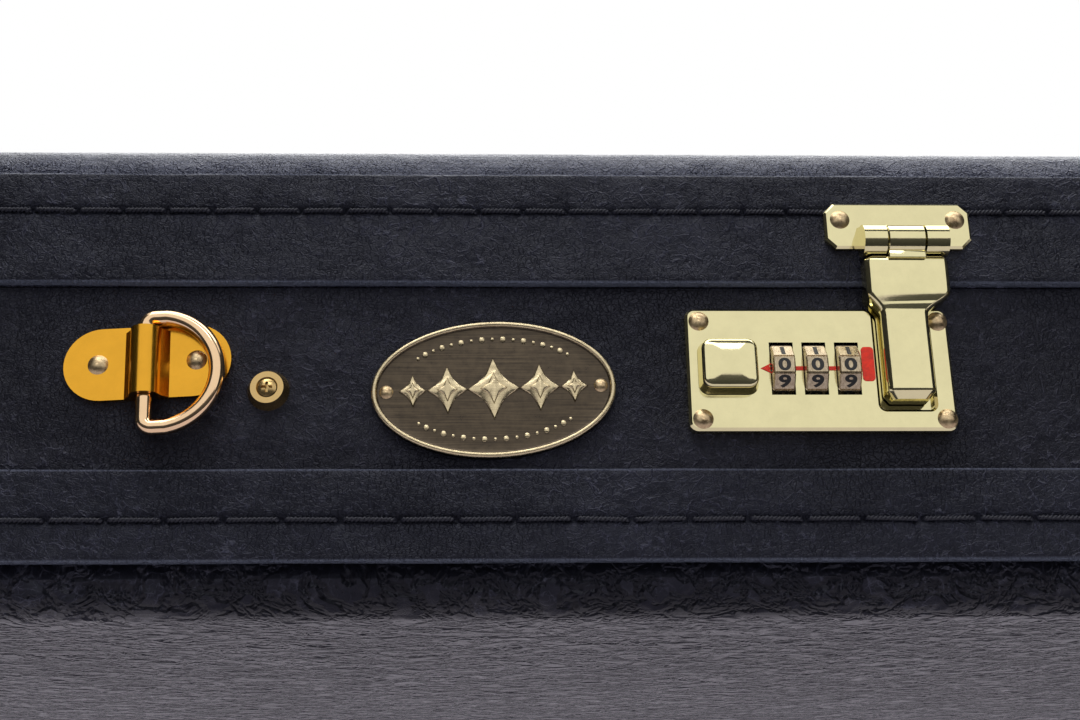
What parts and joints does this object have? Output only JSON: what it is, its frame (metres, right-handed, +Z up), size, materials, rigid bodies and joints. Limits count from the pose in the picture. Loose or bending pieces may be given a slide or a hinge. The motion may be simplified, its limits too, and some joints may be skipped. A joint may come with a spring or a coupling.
{
  "type": "instrument case",
  "caption": "Long hard case for an electric guitar: hinged crowned lid, code latch and plain latches, strap rings, folding handle and a padded inside with wells.",
  "frame": {"origin": "centre of the closed case's overall box in plan, on the plane its bottom feet stand on", "axes": "+X along the length, -Y towards the latch side, +Z up through the lid"},
  "size_m": [1.054, 0.423, 0.1329],
  "materials": {
    "leatherette": "embossed artificial leather, black with a blue cast",
    "band_leatherette": "smoother artificial leather, stitched",
    "plywood": "bare laminated wood",
    "plush": "short plush over foam",
    "foot_rubber": "black, satin",
    "bright_brass": "polished and lacquered",
    "rivet_brass": "aged",
    "yellow_brass": "deep yellow, polished",
    "rose_brass": "polished, rosy",
    "aged_bronze": "brushed, darkened in the recesses",
    "wheel_brass": "aged, numbers sunk in black",
    "plain_steel": "bare",
    "red_enamel": "thin gloss enamel",
    "handle_leather": "sewn black leather"
  },
  "bodies": {
    "base": {"base_skin": "leatherette", "base_band": "band_leatherette", "base_rim": "plywood", "base_panel": "plywood", "valance": "plush", "floor_pad": "plush", "body_block": "plush", "head_block": "plush", "neck_partition": "plush", "neck_saddle": "plush", "bottom_feet": "foot_rubber", "base_spine_feet": "foot_rubber", "base_hinge_leaves": "bright_brass", "hinge_pins": "bright_brass", "base_hinge_screws": "bright_brass", "lock_plate_combination": "bright_brass", "lock_plate_left": "bright_brass", "lock_plate_right": "bright_brass", "handle_brackets": "bright_brass", "lock_plate_rivets": "rivet_brass", "ring_rivets": "rivet_brass", "bracket_rivets": "rivet_brass", "ring_plates": "yellow_brass", "cup_washers": "yellow_brass", "partition_screws": "yellow_brass", "badge": "aged_bronze", "badge_screws": "aged_bronze", "return_springs": "plain_steel", "wheel_shaft": "plain_steel", "wheel_springs": "plain_steel", "lock_housing": "plain_steel", "index_paint": "red_enamel"},
    "hasp_combination": {"hasp_combination": "bright_brass"},
    "hasp_left": {"hasp_left": "bright_brass"},
    "hasp_right": {"hasp_right": "bright_brass"},
    "button_combination": {"button_combination": "bright_brass", "bolt_combination": "plain_steel"},
    "button_left": {"button_left": "bright_brass", "bolt_left": "plain_steel"},
    "button_right": {"button_right": "bright_brass", "bolt_right": "plain_steel"},
    "wheel_first": {"wheel_first": "wheel_brass"},
    "wheel_second": {"wheel_second": "wheel_brass"},
    "wheel_third": {"wheel_third": "wheel_brass"},
    "strap_ring_left": {"strap_ring_left": "rose_brass"},
    "strap_ring_right": {"strap_ring_right": "rose_brass"},
    "handle": {"handle_bow": "bright_brass", "handle_grip": "handle_leather"},
    "lid": {"lid_rim": "plywood", "lid_panel": "plywood", "lid_skin": "leatherette", "lid_band": "band_leatherette", "lid_pad": "plush", "lid_wall_lining": "plush", "lid_spine_feet": "foot_rubber", "lid_hinge_leaves": "bright_brass", "lid_hinge_screws": "bright_brass", "hasp_plates": "bright_brass", "hasp_pins": "bright_brass", "hasp_plate_rivets": "rivet_brass"}
  },
  "joints": [
    {"name": "lid_hinge", "type": "hinge", "parent": "base", "child": "lid", "pos_m": [0, 0.205, 0.0816], "axis": [-1, 0, 0], "range_deg": [0, 100]},
    {"name": "combination_hasp_hinge", "type": "hinge", "parent": "lid", "child": "hasp_combination", "pos_m": [-0.1001, -0.197, 0.0901], "axis": [-1, 0, 0], "range_deg": [0, 140]},
    {"name": "left_hasp_hinge", "type": "hinge", "parent": "lid", "child": "hasp_left", "pos_m": [-0.4206, -0.197, 0.0901], "axis": [-1, 0, 0], "range_deg": [0, 140]},
    {"name": "right_hasp_hinge", "type": "hinge", "parent": "lid", "child": "hasp_right", "pos_m": [0.2714, -0.197, 0.0901], "axis": [-1, 0, 0], "range_deg": [0, 140]},
    {"name": "combination_button_slide", "type": "slide", "parent": "base", "child": "button_combination", "axis": [-1, 0, 0], "range_m": [0, 0.0022], "stiffness_N_per_m": 400},
    {"name": "left_button_slide", "type": "slide", "parent": "base", "child": "button_left", "axis": [-1, 0, 0], "range_m": [0, 0.0022], "stiffness_N_per_m": 400},
    {"name": "right_button_slide", "type": "slide", "parent": "base", "child": "button_right", "axis": [-1, 0, 0], "range_m": [0, 0.0022], "stiffness_N_per_m": 400},
    {"name": "first_wheel_turn", "type": "hinge", "parent": "base", "child": "wheel_first", "pos_m": [-0.1282, -0.1904, 0.0616], "axis": [1, 0, 0], "continuous": true},
    {"name": "second_wheel_turn", "type": "hinge", "parent": "base", "child": "wheel_second", "pos_m": [-0.1211, -0.1904, 0.0616], "axis": [1, 0, 0], "continuous": true},
    {"name": "third_wheel_turn", "type": "hinge", "parent": "base", "child": "wheel_third", "pos_m": [-0.114, -0.1904, 0.0616], "axis": [1, 0, 0], "continuous": true},
    {"name": "left_strap_ring_hinge", "type": "hinge", "parent": "base", "child": "strap_ring_left", "pos_m": [-0.2646, -0.1936, 0.0636], "axis": [0.0541, 0, -0.9985], "range_deg": [0, 170]},
    {"name": "right_strap_ring_hinge", "type": "hinge", "parent": "base", "child": "strap_ring_right", "pos_m": [0.404, -0.1936, 0.0636], "axis": [0.0541, 0, -0.9985], "range_deg": [0, 170]},
    {"name": "handle_hinge", "type": "hinge", "parent": "base", "child": "handle", "pos_m": [0.06, -0.2025, 0.068], "axis": [-1, 0, 0], "range_deg": [0, 170]}
  ]
}
